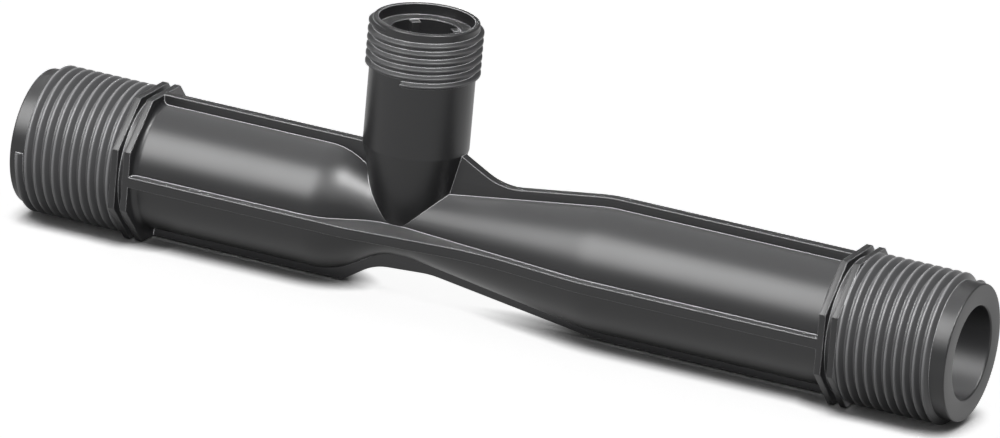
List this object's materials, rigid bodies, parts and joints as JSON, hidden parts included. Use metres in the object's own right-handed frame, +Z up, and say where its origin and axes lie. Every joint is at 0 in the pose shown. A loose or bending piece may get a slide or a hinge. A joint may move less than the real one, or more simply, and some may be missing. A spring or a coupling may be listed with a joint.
{
  "type": "venturi fertilizer injector",
  "caption": "One-piece moulded pipe run with nozzle, throat and diffuser, threaded at both ends, with a threaded suction port on top and ribs along its length.",
  "frame": {"origin": "where the axis of the pipe run crosses the axis of the suction port", "axes": "+X along the run from inlet to outlet, +Z up along the suction port, +Y towards the back"},
  "size_m": [0.2234, 0.0332, 0.063],
  "materials": {
    "moulding": "dark grey-black moulded plastic, satin"
  },
  "bodies": {
    "root": {"injector_body": "moulding"}
  },
  "joints": []
}
